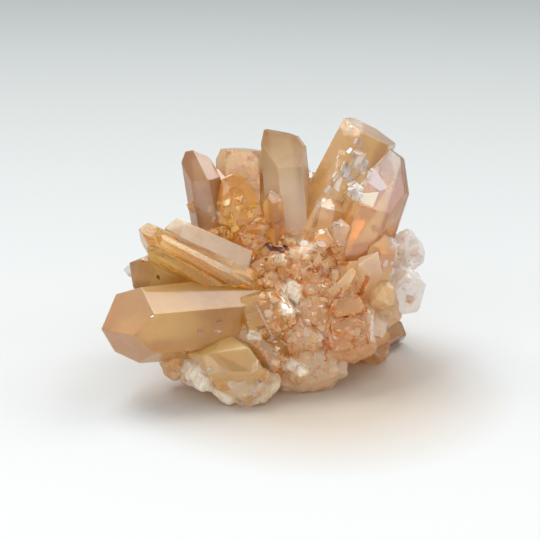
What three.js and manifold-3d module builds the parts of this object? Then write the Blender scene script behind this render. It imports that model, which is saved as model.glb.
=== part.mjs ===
// A tangerine quartz cluster: a spray of six-sided quartz points that grew out of one broken, druse-covered root.
// The points, the broken lumps and the small crystals between them are one grown-together stone, so it is one solid.
//
// Millimetres, +Z up. The origin is under the middle of the cluster, on the surface that it rests on.
// The front of the cluster is set out as it looks from a little above: seen(across, up, deep) takes a place as it
// looks in that tilted front view, measured in the plane through the middle of the cluster, with the depth counted
// from the front foot. stood(x, y, z) takes an upright place in the same space, for what the front view hides.

import * as THREE from "three";
import { ConvexGeometry } from "three/addons/geometries/ConvexGeometry.js";
import { mergeVertices } from "three/addons/utils/BufferGeometryUtils.js";
import Module from "manifold-3d";

const wasm = await Module();
wasm.setup();

const DEGREE = Math.PI / 180;

// The front view looks from this far above the horizon and from this far away, at this place across and up in it,
// and is true to size at this depth.
const VIEW_TILT = 20 * DEGREE;
const VIEW_DISTANCE = 400;
const VIEW_CENTRE = { across: 2, up: 30.7, deep: 20 };
const TO_VIEWER = stood(0, -Math.cos(VIEW_TILT), Math.sin(VIEW_TILT));
const TO_BACK = stood(0, 1, 0.15).normalize();

// The angle between a point's end faces and its long axis, the same on every quartz crystal.
const END_FACE_ANGLE = 38.2 * DEGREE;
// How much each side face leans in towards the tip.
const SIDE_TAPER = 1.2 * DEGREE;
// Every other end face is small: it is lowered by this share of the point's radius.
const SMALL_FACE_DROP = 0.55;
// How far a small crystal may lean, and where it sits between the middle of its lump and the lump's skin.
const DRUSE_LEAN = 0.8;
const DRUSE_SEAT = 0.95;
// A lump's corners lie between these shares of its size.
const LUMP_REACH = [0.82, 1.08];
// The turn from one corner of a lump to the next, which spreads them evenly.
const GOLDEN_ANGLE = 2.39996;
// How much is ground off below the feet, so that the stone rests on flat spots.
const FOOT_TRIM = 0.35;

// Where the points of the back grow from.
const CORE = stood(8.5, 28, 20);

function seen(across, up, deep) {
  const scale = 1 + (deep - VIEW_CENTRE.deep) / VIEW_DISTANCE;
  const x = VIEW_CENTRE.across + (across - VIEW_CENTRE.across) * scale;
  const high = VIEW_CENTRE.up + (up - VIEW_CENTRE.up) * scale;
  return stood(
    x,
    high * Math.sin(VIEW_TILT) + deep * Math.cos(VIEW_TILT),
    high * Math.cos(VIEW_TILT) - deep * Math.sin(VIEW_TILT),
  );
}

function stood(x, y, z) {
  return new THREE.Vector3(x, y, z);
}

// Numbers from 0 to 1 that come out the same each time for a given seed.
function seeded(seed) {
  let state = seed >>> 0;
  return () => {
    state = (Math.imul(state, 1664525) + 1013904223) >>> 0;
    return (state >>> 8) / 16777216;
  };
}

// The points of the front, from the left round the top to the right.
// radius is half the distance between opposite side faces, roll turns the six sides about the long axis,
// sides moves each side face in or out, apex moves the very tip [towards the viewer, sideways],
// cut lowers each end face along the axis, and broken snaps the tip off: [how far below it, lean towards the
// viewer, lean sideways].
const FRONT_POINTS = [
  {
    name: "big left point",
    root: seen(8, 21.5, 20),
    tip: seen(-35.8, 17.6, -1),
    radius: 7.1,
    roll: -15,
    cut: [-5, 0, -6, 0.5, -5, 0],
  },
  {
    name: "stub beside the big left point",
    root: seen(9, 15, 19),
    tip: seen(-3.5, 24, 2),
    radius: 5.4,
    roll: 4,
    broken: [3.4, 0.4, 0.1],
  },
  {
    name: "upper left blade",
    root: seen(3, 27.5, 20),
    tip: seen(-21.8, 41.2, 8.5),
    radius: 2.6,
    roll: 2,
    sides: [1, 1.2, 1, 1, 1.1, 1],
    cut: [0, 0.6, -2, 0, -2, 0],
    broken: [0.8, 0, 0],
  },
  {
    name: "golden blade",
    root: seen(0, 26, 18),
    tip: seen(-29.4, 39.2, 6.5),
    radius: 4.3,
    roll: -14,
    apex: [0, 1.6],
    cut: [-0.6, 0, -1, 0.8, -2, 0.5],
    broken: [1.6, 0.1, -0.4],
  },
  {
    name: "upper ridge of the golden blade",
    root: seen(0, 26.5, 13),
    tip: seen(-22.6, 38.4, 3.6),
    radius: 1.7,
    roll: -14,
    broken: [0.5, 0, -0.5],
  },
  {
    name: "lower ridge of the golden blade",
    root: seen(0, 24.4, 13),
    tip: seen(-25.2, 36.2, 3.2),
    radius: 1.6,
    roll: 12,
    broken: [0.5, 0, -0.4],
  },
  {
    name: "lower left blade",
    root: seen(-3.5, 23.5, 19),
    tip: seen(-30.8, 32, 11),
    radius: 4.9,
    roll: -22,
    cut: [0, -2, 0, -2, 0.5, -2],
    broken: [2, 0.3, -0.2],
  },
  {
    name: "small clear tip at the far left",
    root: seen(-22, 29, 16),
    tip: seen(-30.6, 30.8, 14),
    radius: 1.2,
    roll: 20,
  },
  {
    name: "upright left point",
    root: seen(-10, 34, 22),
    tip: seen(-14.3, 57.9, 18),
    radius: 3.4,
    roll: -20,
    apex: [-1.2, -1.2],
    cut: [1, 0.4, -2, 0, -1.5, -0.6],
  },
  {
    name: "chip at the foot of the upright left point",
    root: seen(-12, 43, 20),
    tip: seen(-16.6, 45.4, 17),
    radius: 0.9,
    roll: 10,
  },
  {
    name: "broken plate",
    root: seen(-4, 36, 26),
    tip: seen(-4.2, 61.7, 25),
    radius: 4.9,
    roll: 4,
    sides: [0.75, 1, 1, 0.75, 1, 1.05],
    broken: [4.2, 0.1, 0.06],
  },
  {
    name: "small amber point",
    root: seen(3.6, 36, 17),
    tip: seen(2.4, 48.6, 13),
    radius: 2.0,
    roll: 25,
    cut: [0, -1, 0.4, -1, 0, -1],
  },
  {
    name: "upright middle point",
    root: seen(7, 34, 23),
    tip: seen(4.6, 63.4, 21),
    radius: 4.35,
    roll: 12,
    apex: [-2.2, -3.4],
    cut: [0.5, -5, -6, -4, -3, -1.6],
    broken: [1.7, 0.1, 0.5],
  },
  {
    name: "point behind the middle",
    root: seen(9.5, 36, 28),
    tip: seen(10.8, 53.6, 31),
    radius: 2.9,
    roll: 8,
    apex: [0, -1.4],
  },
  {
    name: "tall right point",
    root: seen(8.6, 31, 24),
    tip: seen(24.3, 62.4, 23),
    radius: 5.6,
    roll: 16,
    sides: [1, 1.12, 1.12, 1, 1, 1],
    cut: [-7, -7, -7, -7, -7, -7],
    broken: [0.4, 0.34, 0],
  },
  {
    name: "right point with the golden side",
    root: seen(19.4, 30, 21),
    tip: seen(29.2, 57.6, 16),
    radius: 5.8,
    roll: 4,
    apex: [-4.4, 0.2],
    cut: [0, -1.6, -3, -4, -3.4, -0.4],
    broken: [1.2, 0.1, 0.3],
  },
  {
    name: "small point in front of the tall one",
    root: seen(13.2, 31, 19.5),
    tip: seen(16.8, 48, 17.6),
    radius: 2.9,
    roll: -24,
    broken: [1.5, 0.6, 0.5],
  },
  {
    name: "bright-topped small point",
    root: seen(15.5, 30, 17.5),
    tip: seen(18.1, 42.4, 12),
    radius: 2.2,
    roll: 8,
    broken: [1.1, 0.25, 0],
  },
  {
    name: "upper clear end",
    root: seen(19, 28, 24),
    tip: seen(36.8, 37.2, 21),
    radius: 4.0,
    roll: 15,
    broken: [1.6, 0.3, -0.25],
  },
  {
    name: "lower clear end",
    root: seen(19, 25, 23),
    tip: seen(37.6, 26.8, 18),
    radius: 5.1,
    roll: 30,
    broken: [1.8, 0.35, 0.2],
  },
  {
    name: "amber right point",
    root: seen(24, 22, 17),
    tip: seen(27.9, 38.8, 12),
    radius: 2.9,
    roll: 24,
    cut: [0, -1, 0.5, -1, 0, -1],
  },
  {
    name: "pale right point",
    root: seen(20, 23, 16),
    tip: seen(25.9, 34.8, 9),
    radius: 2.7,
    roll: -20,
    cut: [0.5, -1, 0, -1, 0, 0.4],
  },
  {
    name: "pale ridge below the small points",
    root: seen(13, 22, 17),
    tip: seen(22.6, 33, 10.5),
    radius: 2.6,
    roll: 12,
    broken: [1.2, 0.2, 0.4],
  },
  {
    name: "low right point",
    root: seen(15, 18.6, 26),
    tip: seen(31.8, 16.6, 24),
    radius: 4.6,
    roll: 18,
    cut: [0, 0, -1, 0, -2, 0.6],
  },
  {
    name: "front point over the foot",
    root: seen(4, 15, 20),
    tip: seen(-7.4, 7.8, -4.5),
    radius: 7.6,
    roll: 14,
    sides: [1, 1, 1, 1, 0.9, 1.05],
    apex: [-1.5, 0],
    cut: [1.2, -1, -1, -4, -3, -1.5],
    broken: [3.2, 0.28, 0.1],
  },
  {
    name: "upper stained block",
    root: seen(15, 26, 20),
    tip: seen(21.2, 22.4, 5.6),
    radius: 4.6,
    roll: 2,
    sides: [1, 1, 1.15, 1, 1, 1.1],
    broken: [1.8, 0.3, 0.3],
  },
  {
    name: "lower stained block",
    root: seen(15, 21, 20),
    tip: seen(21, 14.2, 5.4),
    radius: 4.8,
    roll: 30,
    sides: [1, 1.1, 1, 1, 1.1, 1],
    broken: [2, 0.15, 0.1],
  },
  {
    name: "column beside the stained blocks",
    root: seen(22, 26, 22),
    tip: seen(26.4, 16, 9),
    radius: 2.3,
    roll: 10,
    broken: [0.8, 0.2, 0.2],
  },
  {
    name: "left stained block",
    root: seen(10, 24, 19),
    tip: seen(13.4, 19, 5),
    radius: 4.2,
    roll: 12,
    broken: [1.8, 0.3, -0.1],
  },
];

// The points of the back, which the front view hides.
const BACK_POINTS = [
  { root: CORE, tip: stood(-22, 44, 24), radius: 4.7, roll: 10 },
  { root: CORE, tip: stood(-6, 52, 39), radius: 4.1, roll: 35 },
  { root: CORE, tip: stood(7, 57, 29), radius: 5.9, roll: 5 },
  { root: CORE, tip: stood(24, 53, 35), radius: 4.6, roll: 20 },
  { root: CORE, tip: stood(34, 46, 21), radius: 4.4, roll: 48 },
  { root: CORE, tip: stood(-24, 42, 14), radius: 4.8, roll: 28 },
  { root: CORE, tip: stood(-4, 55, 14), radius: 4.6, roll: 14 },
  { root: CORE, tip: stood(22, 55, 13), radius: 4.9, roll: 40 },
  { root: CORE, tip: stood(20, 43, 45), radius: 4.2, roll: 0 },
  { root: stood(0, 32, 24), tip: stood(-11, 41, 42), radius: 3.2, roll: 18 },
  { root: stood(14, 34, 24), tip: stood(28, 45, 40), radius: 3.0, roll: 30 },
  { root: stood(14, 30, 18), tip: stood(33, 37, 12), radius: 3.6, roll: 12 },
  { root: stood(0, 36, 18), tip: stood(-13, 52, 24), radius: 3.1, roll: 52 },
  { root: stood(12, 38, 20), tip: stood(15, 58, 20), radius: 3.2, roll: 26 },
  { root: stood(6, 30, 18), tip: stood(-17, 40, 0), radius: 5.0, roll: 8, broken: [2, 0.2, 0.1] },
  { root: stood(10, 30, 18), tip: stood(20, 51, -1), radius: 5.2, roll: 22, broken: [3, -0.3, 0.1] },
  { root: stood(12, 30, 16), tip: stood(33, 40, 1), radius: 3.6, roll: 40 },
];

// Broken lumps of quartz: half its size across, up and deep, and how many corners it has.
const LUMPS = {
  core: { at: seen(8.7, 27, 20), half: [14, 12, 12], corners: 40 },
  coreLeft: { at: seen(0, 22, 18.5), half: [12, 9.5, 10], corners: 34 },
  coreRight: { at: seen(15.5, 26, 22), half: [11.5, 11, 11], corners: 34 },
  coreBack: { at: stood(8, 36, 15), half: [15, 12, 12], corners: 40 },
  amberMass: { at: seen(-7.6, 38.6, 21), half: [7.6, 5, 5], corners: 22 },
  amberMassRight: { at: seen(-1.5, 38, 19), half: [7, 6, 5.4], corners: 22 },
  amberDome: { at: seen(-4.6, 46.4, 21.5), half: [4.6, 5.4, 3.2], corners: 24 },
  frontFoot: { at: seen(-3.2, 6.4, 6), half: [8.4, 6, 6.4], corners: 26 },
  frontFootLeft: { at: seen(-12.5, 9.5, 9), half: [7, 6, 6], corners: 22 },
  crustLeft: { at: seen(-18.6, 10.4, 11), half: [4.6, 4.6, 5], corners: 18 },
  underside: { at: seen(0, 15.4, 17), half: [14, 7.6, 9], corners: 30 },
  smoothLump: { at: seen(9, 11.9, 12.6), half: [10.8, 8.6, 8.4], corners: 44 },
  stainedLump: { at: seen(18.6, 18, 13.2), half: [8.8, 8.6, 8], corners: 34 },
  stainedLumpTop: { at: seen(16, 23.6, 12.6), half: [6.6, 5.4, 5.6], corners: 26 },
  amberLump: { at: seen(27, 25, 13), half: [3.8, 4.2, 4], corners: 18 },
  rightLump: { at: seen(26.5, 22, 17), half: [5.6, 5.6, 5.6], corners: 20 },
  clearLumpTop: { at: seen(32.2, 36, 22), half: [3.8, 4, 3.8], corners: 18 },
  clearLumpBottom: { at: seen(31.8, 26.4, 19), half: [4.6, 6, 4.6], corners: 20 },
  lowRightFoot: { at: seen(25.2, 13.6, 27), half: [4.6, 4.4, 4.6], corners: 18 },
};

// Shell-shaped hollows where a flake broke away.
const HOLLOWS = [
  { at: seen(-4.8, 47, 13.6), half: [5, 6.2, 6] },
  { at: seen(40.2, 33.2, 14), half: [5, 4.5, 5] },
];

// Patches of small crystals on a lump: within how wide a fan about a direction, how many, how long and how thick.
const DRUSE = [
  { on: LUMPS.core, towards: TO_VIEWER, fan: 64, seed: 11, count: 58, length: [0.7, 2.2], radius: [0.7, 1.8] },
  { on: LUMPS.coreRight, towards: TO_VIEWER, fan: 60, seed: 29, count: 14, length: [0.8, 2.2], radius: [0.7, 1.6] },
  { on: LUMPS.coreLeft, towards: TO_VIEWER, fan: 50, seed: 31, count: 12, length: [0.8, 2], radius: [0.7, 1.5] },
  { on: LUMPS.amberMass, towards: TO_VIEWER, fan: 70, seed: 23, count: 9, length: [1, 2.2], radius: [0.7, 1.4] },
  { on: LUMPS.amberMassRight, towards: TO_VIEWER, fan: 70, seed: 41, count: 9, length: [1, 2.2], radius: [0.7, 1.4] },
  { on: LUMPS.coreBack, towards: TO_BACK, fan: 85, seed: 53, count: 34, length: [1.6, 4], radius: [1, 2.2] },
];

// The solid inside a set of planes, as a geometry. Each plane has its normal pointing out.
function insidePlanes(planes) {
  const corners = [];
  const line = new THREE.Vector3();
  const corner = new THREE.Vector3();
  for (let i = 0; i < planes.length; i++)
    for (let j = i + 1; j < planes.length; j++)
      for (let k = j + 1; k < planes.length; k++) {
        const [a, b, c] = [planes[i], planes[j], planes[k]];
        const size = a.normal.dot(line.crossVectors(b.normal, c.normal));
        if (Math.abs(size) < 1e-6) continue;
        corner.copy(line).multiplyScalar(-a.constant);
        corner.addScaledVector(line.crossVectors(c.normal, a.normal), -b.constant);
        corner.addScaledVector(line.crossVectors(a.normal, b.normal), -c.constant);
        corner.divideScalar(size);
        if (planes.every((p) => p.distanceToPoint(corner) < 1e-5)) corners.push(corner.clone());
      }
  return new ConvexGeometry(corners);
}

// A quartz crystal: six side faces, six end faces and a flat cut at its root.
function point({ root, tip, radius, roll, apex = [0, 0], cut, sides, broken }) {
  const axis = tip.clone().sub(root).normalize();
  const forward = TO_VIEWER.clone().addScaledVector(axis, -TO_VIEWER.dot(axis)).normalize();
  const sideways = new THREE.Vector3().crossVectors(axis, forward);
  const leaning = (way, angle) => way.clone().multiplyScalar(Math.cos(angle)).addScaledVector(axis, Math.sin(angle));
  const peak = tip.clone().addScaledVector(forward, apex[0]).addScaledVector(sideways, apex[1]);
  const planes = [plane(axis.clone().negate(), root)];
  for (let face = 0; face < 6; face++) {
    const angle = (roll + 60 * face) * DEGREE;
    const out = forward.clone().multiplyScalar(Math.cos(angle)).addScaledVector(sideways, Math.sin(angle));
    const lowered = cut ? cut[face] : face % 2 ? -SMALL_FACE_DROP * radius : 0;
    const reach = radius * (sides ? sides[face] : 1);
    planes.push(plane(leaning(out, SIDE_TAPER), tip.clone().addScaledVector(out, reach)));
    planes.push(plane(leaning(out, END_FACE_ANGLE), peak.clone().addScaledVector(axis, -lowered)));
  }
  if (broken) {
    const [below, lean, turn] = broken;
    const normal = axis.clone().addScaledVector(forward, lean).addScaledVector(sideways, turn).normalize();
    planes.push(plane(normal, tip.clone().addScaledVector(axis, -below)));
  }
  return insidePlanes(planes);
}

function plane(normal, through) {
  return new THREE.Plane().setFromNormalAndCoplanarPoint(normal, through);
}

// A broken lump: corners spread evenly over an oval, each pushed in or out a little.
function lump({ at, half, corners }, seed) {
  const random = seeded(seed);
  const [nearest, farthest] = LUMP_REACH;
  const points = [];
  for (let i = 0; i < corners; i++) {
    const height = 1 - (2 * i + 1) / corners;
    const turn = i * GOLDEN_ANGLE;
    const ring = Math.sqrt(1 - height * height);
    const reach = nearest + (farthest - nearest) * random();
    points.push(
      stood(
        at.x + half[0] * reach * ring * Math.cos(turn),
        at.y + half[2] * reach * ring * Math.sin(turn),
        at.z + half[1] * reach * height,
      ),
    );
  }
  return new ConvexGeometry(points);
}

// Small crystals over one side of a lump, each with its root inside the lump and its tip pointing out.
function druse({ on, towards, fan, seed, count, length, radius }) {
  const random = seeded(seed);
  const between = ([low, high]) => low + (high - low) * random();
  const anyWay = () => stood(2 * random() - 1, 2 * random() - 1, 2 * random() - 1);
  const made = [];
  while (made.length < count) {
    const out = anyWay().normalize();
    const way = anyWay().multiplyScalar(DRUSE_LEAN).add(out).normalize();
    const long = between(length);
    const thick = between(radius);
    const roll = 60 * random();
    if (out.angleTo(towards) > fan * DEGREE) continue;
    const base = stood(
      on.at.x + on.half[0] * DRUSE_SEAT * out.x,
      on.at.y + on.half[2] * DRUSE_SEAT * out.y,
      on.at.z + on.half[1] * DRUSE_SEAT * out.z,
    );
    const root = base.clone().addScaledVector(way, -thick - long);
    made.push(point({ root, tip: base.addScaledVector(way, long), radius: thick, roll }));
  }
  return made;
}

function hollow({ at, half }) {
  const ball = new THREE.IcosahedronGeometry(1, 2);
  ball.scale(half[0], half[2], half[1]);
  ball.translate(at.x, at.y, at.z);
  return ball;
}

function solidOf(geometry) {
  const bare = geometry.clone();
  for (const name of Object.keys(bare.attributes)) if (name !== "position") bare.deleteAttribute(name);
  const merged = mergeVertices(bare, 1e-4);
  return new wasm.Manifold(
    new wasm.Mesh({
      numProp: 3,
      vertProperties: new Float32Array(merged.attributes.position.array),
      triVerts: new Uint32Array(merged.index.array),
    }),
  );
}

function geometryOf(solid) {
  const mesh = solid.getMesh();
  const geometry = new THREE.BufferGeometry();
  geometry.setAttribute("position", new THREE.BufferAttribute(mesh.vertProperties, 3));
  geometry.setIndex(new THREE.BufferAttribute(mesh.triVerts, 1));
  return geometry;
}

function buildCluster() {
  const grown = [
    ...Object.values(LUMPS).map((each, i) => lump(each, 101 + i)),
    ...FRONT_POINTS.map(point),
    ...BACK_POINTS.map(point),
    ...DRUSE.flatMap(druse),
  ].map(solidOf);
  let stone = grown.reduce((whole, piece) => whole.add(piece));
  for (const each of HOLLOWS) stone = stone.subtract(solidOf(hollow(each)));
  const ground = new THREE.BoxGeometry(200, 200, 100);
  ground.translate(0, 0, FOOT_TRIM - 50);
  stone = stone.subtract(solidOf(ground));
  // The outer skin alone: loose chips and pockets sealed inside are left out.
  return stone.decompose().reduce((best, each) => (each.volume() > best.volume() ? each : best));
}

const geometry = geometryOf(buildCluster());
geometry.computeBoundingBox();
const box = geometry.boundingBox;
geometry.translate(-(box.min.x + box.max.x) / 2, -(box.min.y + box.max.y) / 2, -box.min.z);

const cluster = new THREE.Mesh(
  geometry,
  new THREE.MeshStandardMaterial({ color: 0xd8a878, roughness: 0.18, metalness: 0 }),
);
cluster.name = "quartz_cluster";

const stone = new THREE.Group();
stone.add(cluster);

export default stone;
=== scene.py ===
# A tangerine quartz cluster: six-sided points fused into one translucent stone, with druse and rust between.
#
# The stone is built in millimetres, set out as it looks from a little above. seen(across, up, deep) takes a
# place as it looks in that tilted front view, and stood(x, y, z) an upright place. The last step puts the stone
# in metres on its origin, under the middle of the cluster.

import math

import bpy
import numpy as np
from mathutils import Matrix, Vector
from mathutils.bvhtree import BVHTree


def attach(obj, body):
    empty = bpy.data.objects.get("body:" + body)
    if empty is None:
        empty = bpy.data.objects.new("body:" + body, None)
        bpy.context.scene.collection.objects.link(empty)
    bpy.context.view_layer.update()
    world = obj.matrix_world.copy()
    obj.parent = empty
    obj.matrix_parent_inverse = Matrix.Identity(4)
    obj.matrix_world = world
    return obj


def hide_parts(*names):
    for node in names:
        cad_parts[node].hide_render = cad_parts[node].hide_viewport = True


MM = 0.001

# The camera's tilt, its distance, and the place across, up and deep that it looks at.
VIEW_TILT = math.radians(20)
VIEW_DISTANCE = 400
VIEW_CENTRE = Vector((2, 30.7, 20))
TO_VIEWER = Vector((0, -math.cos(VIEW_TILT), math.sin(VIEW_TILT)))
UP_IN_VIEW = Vector((0, math.sin(VIEW_TILT), math.cos(VIEW_TILT)))
TO_BACK = Vector((0, 1, 0.15)).normalized()
LENS = 120

# The cluster's middle across and front to back, and how much is ground off below the feet.
MIDDLE_ACROSS = 1.5601
MIDDLE_DEEP = 29.0913
FOOT_TRIM = 0.35
GROUND_SIZE = 200

END_FACE_ANGLE = math.radians(38.2)
SIDE_TAPER = math.radians(1.2)
# How far down every second end face sits, in radii, so that big and small end faces alternate.
SMALL_FACE_DROP = 0.55
# How much a druse crystal leans at random, and how far out in its lump its foot is.
DRUSE_LEAN = 0.8
DRUSE_SEAT = 0.95
# How near and how far the corners of a lump are, in its half sizes, and the turn from one to the next.
LUMP_REACH = (0.82, 1.08)
GOLDEN_ANGLE = 2.39996
# The edges that are worn: on a point, on a druse crystal, a step, a flake, a lump and a block.
POINT_EDGE = 0.09
DRUSE_EDGE = 0.05
STEP_EDGE = 0.06
FLAKE_EDGE = 0.08
LUMP_EDGE = 0.35
BLOCK_EDGE = 0.3
EDGE_ANGLE = math.radians(12)
# The fineness of a broken surface, and the share of its faces that is kept.
LUMP_GRAIN = 0.36
LUMP_SHARE = 0.35
# A step reaches this far into the stone, and has no corner further than this from the others.
STEP_DEPTH = 1.2
STEP_SPREAD = 2
# A face turned to the viewer by less than this takes no flake, or no plate.
FLAKE_FACING = 0.25
PLATE_FACING = 0.35
FLAKE_SINK = 0.45
FLAKE_THICK = 0.75
PLATE_THICK = 0.5
# Where the rays start that look for places on the back.
FAR_BEHIND = 150
# A painted place is seen by the viewer if a ray from the eye lands this near to it.
PAINT_REACH = 0.8

# The colours of the quartz, and of what stains it. The two patch colours are painted reflections, and the two
# band colours of the golden points are a painted highlight and a painted shade.
PEACH = (0.90, 0.60, 0.31)
TAN = (0.78, 0.50, 0.21)
PALE = (0.95, 0.73, 0.44)
AMBER = (0.74, 0.36, 0.05)
GOLD = (1.0, 0.61, 0.05)
OLIVE = (0.60, 0.38, 0.04)
TAWNY = (0.52, 0.27, 0.03)
HONEY = (0.84, 0.68, 0.30)
CREAM = (0.95, 0.80, 0.58)
BUFF = (0.82, 0.66, 0.47)
WINDOW = (0.74, 0.62, 0.24)
# Painted reflections, laid on two growth steps.
PAINTED_LILAC_REFLECTION = (0.80, 0.74, 0.80)
PAINTED_GREEN_REFLECTION = (0.88, 0.88, 0.72)
CLEAR = (1.0, 0.98, 0.94)
WHITE = (0.95, 0.86, 0.74)
ROSE = (0.90, 0.56, 0.28)
ROSY = (0.94, 0.66, 0.38)
LILAC = (0.58, 0.46, 0.35)
BROWN = (0.46, 0.18, 0.02)
ORANGE = (0.78, 0.40, 0.11)
RUST = (0.50, 0.15, 0.02)
DARK_RUST = (0.16, 0.03, 0.015)
# A painted highlight and a painted shade, laid in bands along the golden points.
PAINTED_HIGHLIGHT = (1.0, 0.82, 0.36)
SHADE = (0.42, 0.20, 0.02)


def seen(across, up, deep):
    scale = 1 + (deep - VIEW_CENTRE.z) / VIEW_DISTANCE
    x = VIEW_CENTRE.x + (across - VIEW_CENTRE.x) * scale
    high = VIEW_CENTRE.y + (up - VIEW_CENTRE.y) * scale
    y = high * math.sin(VIEW_TILT) + deep * math.cos(VIEW_TILT)
    return Vector((x, y, high * math.cos(VIEW_TILT) - deep * math.sin(VIEW_TILT)))


def stood(x, y, z):
    return Vector((x, y, z))


class Seeded:
    """Numbers from 0 to 1 that come out the same each time for a given seed."""

    def __init__(self, seed):
        self.state = seed

    def one(self):
        self.state = (self.state * 1664525 + 1013904223) & 0xFFFFFFFF
        return (self.state >> 8) / 16777216

    def between(self, low, high):
        return low + (high - low) * self.one()

    def any_way(self):
        return Vector((2 * self.one() - 1, 2 * self.one() - 1, 2 * self.one() - 1))


CORE = stood(8.5, 28, 20)


def point(name, root, tip, radius, roll, apex=(0, 0), cut=None, sides=None, broken=None, tint=(PEACH, PEACH),
          cloud=(0.75, 0.65), stain=0.03, lines=1.0, painted_light_streaks=0.0,
          wear=0.0):
    """What one quartz point is: its shape, then its looks at the root and at the tip, with how much painted
    highlight and painted shade it takes in bands along it.
    """
    return dict(name=name, root=root, tip=tip, radius=radius, roll=roll, apex=apex, cut=cut, sides=sides,
                broken=broken, tint=tint, cloud=cloud, stain=stain, lines=lines, painted_light_streaks=painted_light_streaks, wear=wear)


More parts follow.
